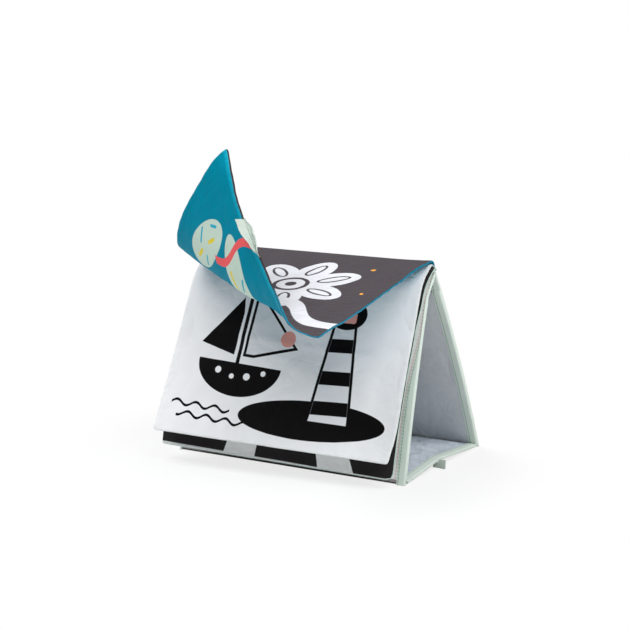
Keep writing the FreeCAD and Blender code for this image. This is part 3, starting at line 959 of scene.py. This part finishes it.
def boatPicture(cloth, base):
    look = boatPrint
    ink, sail, softCoral = pageLook["ink"], pageLook["sail"], pageLook["softCoral"]
    found = stamp(base, ink, cloth, "oval", *look["island"])
    # striped tower on the island
    tower = printed(cloth, "wedge", *look["tower"])
    low = printed(cloth, "bar", *look["towerCut"], round=2.0)
    inner = times(tidyMask(plus(tower["Distance"], look["line"])), low["Mask"])
    found = paint(found, times(tower["Mask"], low["Mask"]), ink)
    found = paint(found, inner, sail)
    for y in look["stripeRows"]:
        stripe = printed(cloth, "bar", look["tower"][0], y, *look["stripe"], round=0.5)
        found = paint(found, times(stripe["Mask"], inner), ink)
    found = stamp(found, ink, cloth, "oval", *look["roof"])
    found = stamp(found, softCoral, cloth, "bar", *look["lamp"], round=2.0)
    # boat with a dotted hull and two sails
    hull = printed(cloth, "oval", *look["hull"])
    deck = printed(cloth, "bar", *look["deck"], round=0.5)
    found = paint(found, outOf(hull["Mask"], deck["Mask"]), ink)
    for x, y, size in look["portholes"]:
        found = stamp(found, pageLook["light"], cloth, "oval", x, y, size, size)
    sails = []
    for whole, cut in (look["bigSail"], look["smallSail"]):
        whole, cut = printed(cloth, "wedge", *whole), printed(cloth, "bar", *cut, round=0.4)
        sails.append(calc("MAXIMUM", whole["Distance"], cut["Distance"]))
    found = paint(found, tidyMask(sails[0]), ink)
    found = paint(found, tidyMask(plus(sails[0], look["line"])), sail)
    found = paint(found, tidyMask(sails[1]), ink)
    found = stamp(found, ink, cloth, "bar", *look["mast"], round=1.2)
    found = stamp(found, softCoral, cloth, "oval", *look["sun"])
    for water in look["water"]:
        found = stamp(found, ink, cloth, "wave", *water, **look["waterWave"])
    return found


def rayPicture(cloth, base):
    found = base
    for turn in rayPrint["turns"]:
        found = stamp(found, pageLook["ray"], cloth, "wedge", *rayPrint["ray"], turn)
    # a plain dark border down the right edge, and a light one along the free edge, narrower to the right
    found = stamp(found, pageLook["blackCloth"], cloth, "bar", *rayPrint["border"])
    u, s = splitPlace(cloth)
    top = plus(times(u, rayPrint["lightNarrows"]), rayPrint["lightFrom"])
    return paint(found, tidyMask(minus(top, s), 0.6), pageLook["borderCloth"])


def flowerPicture(cloth, base):
    look = flowerPrint
    found = base
    x, y = look["middle"]
    for k in range(look["petals"]):
        bearing = look["turn"] + k * 360 / look["petals"]
        c, d = cos(radians(bearing)), sin(radians(bearing))
        out, *size = look["petal"]
        found = stamp(found, pageLook["petal"], cloth, "oval", x + out * c, y + out * d, *size, bearing)
        out, *size = look["vein"]
        vein = printed(cloth, "oval", x + out * c, y + out * d, *size, bearing)
        inner = tidyMask(plus(vein["Distance"], look["veinLine"]))
        found = paint(found, outOf(vein["Mask"], inner), pageLook["charcoal"])
    for size, colour in look["rings"]:
        found = stamp(found, pageLook[colour], cloth, "oval", x, y, size, size)
    found = stamp(found, pageLook["petal"], cloth, "wave", *look["stem"], **look["stemWave"])
    for dotX, dotY, size in look["dots"]:
        found = stamp(found, pageLook["orange"], cloth, "oval", dotX, dotY, size, size)
    # the cloth underneath rolls a little over the right edge
    piping = tidyMask(minus(page["width"] - look["piping"], splitPlace(cloth)[0]), 0.4)
    return paint(found, piping, pageLook["pipingCloth"])


def leafPicture(cloth, base):
    # on the underside, laid out from the same corner
    found = base
    for leaf in leafPrint["leaves"]:
        found = stamp(found, pageLook["mint"], cloth, "oval", *leaf)
    for colour, dashes in leafPrint["dashes"].items():
        for dash in dashes:
            found = stamp(found, pageLook[colour], cloth, "bar", *dash, round=1.2)
    return stamp(found, pageLook["coral"], cloth, "wave", *leafPrint["stem"], **leafPrint["stemWave"])


def pageMaterial(name, colour, length=page["laidOut"], **look):
    return clothMaterial(name, pageLook[colour], page["width"], length, **{"roughness": 0.66, **look})


lightCloth = pageMaterial("boatPageCloth", "light", crumple=0.45, pucker=0.22, picture=boatPicture, shade=0.05,
                          sheen=0.03, shine=0.06)
rayCloth = pageMaterial("rayPageCloth", "blackCloth", crumple=0.3, picture=rayPicture, shine=0.06)
paleBack = pageMaterial("paleMintCloth", "paleBack", crumple=0.2)
mintRim = pageMaterial("mintRimCloth", "mintRim", crumple=0.1)
paleRim = pageMaterial("paleRimCloth", "paleRim", crumple=0.1)
makeHangingPage("middlePage", (lightCloth, paleBack, paleRim), middleWaves)
makeHangingPage("innerPage", (rayCloth, paleBack, mintRim), innerWaves)
print("stage: hanging pages made")

# lifted page: flat right of its diagonal, bent up over it as part of a cone
liftedPage = {"length": 168.0, "droop": 9.8, "fan": 1.525, "bend": (1.9, 63.0, -199.8, 152.9), "steps": 400,
              "fold": 0.186, "spread": 0.09, "turn": 31.8, "reach": 4.0, "reachCurve": 2.5, "sink": 0.17,
              # how the right edge rises and sags on its way down to the free corner
              "rise": ((0.0, 0.0), (0.036, 0.3), (0.09, 1.4), (0.14, 1.7), (0.2, 1.4), (0.3, 0.6), (0.41, -0.3),
                       (0.52, -0.9), (0.65, -1.3), (0.8, -1.2), (0.89, 0.6), (1.0, 0.3)), "riseCurve": 2.2,
              # soft pulls: middle and spread across, middle and spread down, and how far
              "pulls": ((0.0, 0.25, 0.93, 0.26, (3.2, 1.3, -0.6)), (0.72, 0.19, 1.0, 0.5, (3.2, 0.0, 2.6)),
                        (1.0, 0.14, 1.0, 0.18, (-1.6, 1.0, -1.4)), (0.0, 0.12, 0.265, 0.06, (-0.6, 0.0, 2.6)),
                        (1.0, 0.08, 0.0, 0.07, (1.0, 0.3, 0.7))),
              "corners": (3.0, 3.5), "free": (8, 50), "waves": ((0.8, 44.0, 1.0, 61), (0.4, 17.0, 1.0, 62)),
              "creases": (1.0, 1.0, 1.5, 24.0, 63, (10, 55)), "puckers": (0.14, 7, 0.5, 0.45, 3, 22, 6),
              "darkRimTo": 150.0, "rimBlend": 12.0, "rollOver": 0.4, "ragged": (0.05, 1.4), "seamLine": 0.45,
              # the last entry is a painted highlight band inside the free edge: reach, softness and share
              "gleam": (3.4, 2.6, 0.6)}


def liftedSurface():
    spec = liftedPage
    start, radius, upright = rootShape(2)
    arc = radius * radians(90 + spec["droop"])
    droop = radians(spec["droop"])
    down = Vector((0, -cos(droop), -sin(droop)))
    up = Vector((0, -sin(droop), cos(droop)))
    centre = Vector((0, ridge["y"] - start - radius, ridge["pagesZ"] + upright))
    corner = centre + up * radius - Vector((page["width"] / 2, 0, 0))
    tip = (spec["fan"] * page["width"], spec["fan"] * spec["length"])
    apex = corner + Vector((tip[0], 0, 0)) + down * tip[1]
    whole = atan2(tip[1], tip[0])
    span = whole - atan2(tip[1] - spec["length"], tip[0])
    ray = (corner - apex).normalized()
    across = (down - ray * down.dot(ray)).normalized()
    facing = up.copy()
    small = span / spec["steps"]
    rays = [(ray.copy(), facing.copy())]
    for k in range(spec["steps"]):
        x = (k + 0.5) / spec["steps"]
        bend = sum(term * x ** power for power, term in enumerate(spec["bend"]))
        through = (x - spec["fold"]) / spec["spread"]
        if 0 < through < 1:
            bend += radians(spec["turn"]) / (spec["spread"] * span) * (1 - cos(2 * pi * through))
        step = across * small
        across = across - ray * small + facing * (bend * small)
        facing = facing - step * bend
        ray = (ray + step).normalized()
        across = (across - ray * across.dot(ray)).normalized()
        facing = facing - ray * facing.dot(ray)
        facing = (facing - across * facing.dot(across)).normalized()
        rays.append((ray.copy(), facing.copy()))

    def place(u, s):
        # point and normal, u along the ridge and s from the seam
        x = u - page["width"] / 2
        if s < upright:
            return Vector((x, ridge["y"] - start, ridge["pagesZ"] + s)), Vector((0, 1, 0))
        if s < upright + arc:
            a = (s - upright) / radius
            n = Vector((0, cos(a), sin(a)))
            return Vector((x, 0, 0)) + centre + n * radius, n
        v = s - upright - arc
        angle = atan2(tip[1] - v, tip[0] - u)
        if angle >= whole:
            return corner + Vector((u, 0, 0)) + down * v, up.copy()
        steps = spec["steps"] * (whole - angle) / span
        k = min(int(steps), spec["steps"] - 1)
        r, n = [a.lerp(b, steps - k).normalized() for a, b in zip(rays[k], rays[k + 1])]
        return apex + r * hypot(tip[0] - u, tip[1] - v), n

    return place, upright + arc


bentPoint, liftedLead = liftedSurface()
liftedLength = liftedLead + liftedPage["length"]


def liftedPoint(u, s):
    # the bent surface with the cloth's own hang
    point, normal = bentPoint(u, s)
    right = u / page["width"]
    down = min(1.0, max(0.0, s - liftedLead) / liftedPage["length"])
    forward = liftedPage["reach"] * down * right ** liftedPage["reachCurve"]
    rise = between(liftedPage["rise"], down) * right ** liftedPage["riseCurve"]
    point = point + Vector((0, -forward, rise - forward * liftedPage["sink"]))
    for across, width, along, height, pull in liftedPage["pulls"]:
        share = exp(-((right - across) / width) ** 2 - ((down - along) / height) ** 2)
        point = point + Vector(pull) * share
    return point, normal


def liftedPlace(u, s):
    spec = liftedPage
    gu, gs = cornerRound(u, s, liftedLength, spec["corners"])
    point, normal = liftedPoint(gu, gs)
    near = toEdge(gu, gs, liftedLength)
    waves = waveSum(gu, gs, spec["waves"]) + edgeCreases(gu, gs, near, spec["creases"])
    free = blendTo(*spec["free"], gs - liftedLead)
    return point + normal * free * (waves + edgePuckers(gu, gs, near, spec["puckers"]))


def rolledEdges(cloth, base, height):
    # the outer cloth rolls over the free edge and the left edge, with a painted highlight as a bright line at the seam
    u, s = splitPlace(cloth)
    scale, rise = liftedPage["ragged"]
    wobble = times(cloudy(cloth, scale), rise)
    low = minus(minus(liftedLength - liftedPage["rollOver"], s), wobble)
    inward = calc("MINIMUM", low, minus(u, wobble))
    # painted highlight: a lighter teal band just inside the free edge
    reach, soft, share = liftedPage["gleam"]
    found = paint(base, times(tidyMask(minus(low, reach), soft), share), pageLook["tealGleam"])
    # painted highlight: a bright teal line along the rolled seam; the same teal also prints the leaf dashes
    line = minus(calc("ABSOLUTE", inward), liftedPage["seamLine"])
    found = paint(found, tidyMask(line, 0.5), pageLook["tealLine"])
    return paint(found, tidyMask(inward, 0.5), pageLook["darkRim"]), height


def rimPicture(cloth, base):
    # the charcoal cloth shows on the left part of the rim, the teal one on the rest
    dark = tidyMask(minus(splitPlace(cloth)[0], liftedPage["darkRimTo"]), liftedPage["rimBlend"])
    return paint(base, dark, pageLook["darkRim"])


tealRim = pageMaterial("tealRimCloth", "tealRim", liftedLength, crumple=0.1, roughness=0.6, picture=rimPicture)
charcoalCloth = pageMaterial("flowerPageCloth", "charcoal", liftedLength, crumple=0.6, pucker=0.4, roughness=0.6,
                             sheen=0.10, picture=flowerPicture, shade=0.36, shine=0.16, streak=1.6, slant=-35.0)
tealCloth = pageMaterial("tealPageCloth", "teal", liftedLength, crumple=0.4, pucker=0.3, roughness=0.55, sheen=0.0,
                         picture=leafPicture, surface=rolledEdges, shine=0.02, streak=0.7, slant=70.0)
liftedPiece = makePage("liftedPage", liftedLength, (100, 92), liftedPlace, (charcoalCloth, tealCloth, tealRim))

# ribbons
ribbonLook = {"colour": "BDC9C0", "thread": "7E978A", "ribRate": 5.2, "ribs": 0.05, "seamRow": 0.6, "edgeRow": 1.3}
pageRibbon = {"start": 79.0, "length": 36.5, "inner": 7.0, "outer": 4.6, "thick": 0.8, "bulge": 0.9,
              "innerTurns": ((0.0, 88.0), (0.26, 88.0), (0.54, 70.0), (0.82, 55.0), (1.0, 44.0)),
              "outerTurns": ((0.0, 12.0), (0.26, -22.0), (0.54, -4.0), (0.82, 20.0), (1.0, 36.0)),
              "under": 1.3, "past": 1.5, "behind": 2.0, "turnsOver": 0.8, "closed": 0.35, "opensBy": 0.35,
              "wave": (0.35, 11.0), "stray": (0.25, 5.0, 71)}
baseRibbon = {"held": 100.5, "out": 111.4, "y": 56.5, "top": 7.7, "heldTop": 4.9, "rises": (4.2, 6.2), "low": 0.75,
              "apart": 0.34, "round": 0.28, "flat": 0.45, "turned": 1.2, "thick": 0.3, "wave": (0.3, 0.45, 0.3)}
ribbonWide = pageRibbon["inner"] + pageRibbon["outer"]


def knitted(cloth, base, height):
    # stitched along the seam, and again near the outer edge
    u, s = splitPlace(cloth)
    ribs = times(calc("SINE", times(s, ribbonLook["ribRate"])), ribbonLook["ribs"])
    near = calc("MINIMUM", away(u, pageRibbon["inner"] + ribbonLook["seamRow"]),
                away(u, ribbonWide - ribbonLook["edgeRow"]))
    found, raised = sewnRow(base, ribbonLook["thread"], near, s, pitch=1.9, thread=0.6)
    return found, plus(plus(height, ribs), raised)


def pageTabPlace(u, s):
    # sewn along the free edge: it opens like a trough at one end and closes at the other
    spec = pageRibbon
    along = s / spec["length"]
    edge, normal = liftedPoint(spec["start"] + s, liftedLength)
    behind, _ = liftedPoint(spec["start"] + s, liftedLength - spec["behind"])
    outward = (edge - behind).normalized()
    far = u - spec["inner"]
    turns = [radians(between(spec[side], along)) for side in ("innerTurns", "outerTurns")]
    turn = turns[0] + (turns[1] - turns[0]) * blendTo(-spec["turnsOver"], spec["turnsOver"], far)
    way = outward * cos(turn) - normal * sin(turn)
    side = outward * sin(turn) + normal * cos(turn)
    curl = spec["bulge"] * (abs(far) / spec["inner"]) ** 2 * (-1 if far < 0 else 1)
    height, rate = spec["wave"]
    stray, *more = spec["stray"]
    wave = height * sin(along * rate) * abs(far) / spec["inner"] + stray * softNoise(s, u, *more)
    start = edge - normal * spec["under"] + outward * spec["past"]
    opened = spec["closed"] + (1 - spec["closed"]) * blendTo(0, spec["opensBy"], along)
    reach = abs(far) * (1.0 if far < 0 else opened)
    return start + way * reach + side * (curl + wave)


def baseTabPlace(u, s):
    # folded, and hangs upright under the base, out of the right end
    spec = baseRibbon
    t = u / baseTabWide
    low, apart, flat = spec["low"], spec["apart"], spec["flat"]
    top = spec["heldTop"] + (spec["top"] - spec["heldTop"]) * blendTo(*spec["rises"], s)
    if t < flat:
        z, lift = low + (top - low) * (1 - t / flat), -apart
    elif t > 1 - flat:
        z, lift = low + (top - low) * (t - 1 + flat) / flat, apart
    else:
        bend = (t - flat) / (1 - 2 * flat) * pi
        z, lift = low - spec["round"] * sin(bend), -apart * cos(bend)
    height, along, upward = spec["wave"]
    return spec["held"] + s, spec["y"] + lift + height * sin(s * along + z * upward), z


ribbonCloth = clothMaterial("ribbonCloth", ribbonLook["colour"], ribbonWide, pageRibbon["length"], pitch=0.35,
                            crumple=0.1, pucker=0.0, roughness=0.55, sheen=0.1, surface=knitted, shade=0.1)
pageTab = makeCloth("pageTab", (ribbonWide, pageRibbon["length"]), (26, 40), pageTabPlace, pageRibbon["thick"],
                    ribbonCloth, offset=0.0)
settle(pageTab, "front_cover", "page_tab")
baseTabWide = 2 * baseRibbon["top"] + baseRibbon["turned"]
baseTab = makeCloth("basePullTab", (baseTabWide, baseRibbon["out"] - baseRibbon["held"]), (24, 12), baseTabPlace,
                    baseRibbon["thick"], ribbonCloth, offset=0.0)
gather(baseTab, "Front")
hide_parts("base_pull_tab")
shares = (baseShape["share"], 1 - baseShape["share"])
linings = ("frontCoverLining", "backCoverLining")
for panel, tapes, more, share, lining in zip(basePanels, zip(*baseTapes), ([baseTab], []), shares, linings):
    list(tapes)
    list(more)
print("stage: lifted page made")

finishes = {"front_cloth": ["frontCoverCloth"], "back_cloth": ["backCoverCloth"],
            "lining": ["frontCoverLining", "backCoverLining"],
            "tape": [part + "Tape" + end for part in covers for end, _ in ends]
            + [part.name for tape in baseTapes for part in tape],
            "base_cloth": [panel.name for panel in basePanels], "ribbon": ["pageTab", "basePullTab"],
            "page_cloth": ["liftedPage", "middlePage", "innerPage"]}
for finish, names in finishes.items():
    for name in names:
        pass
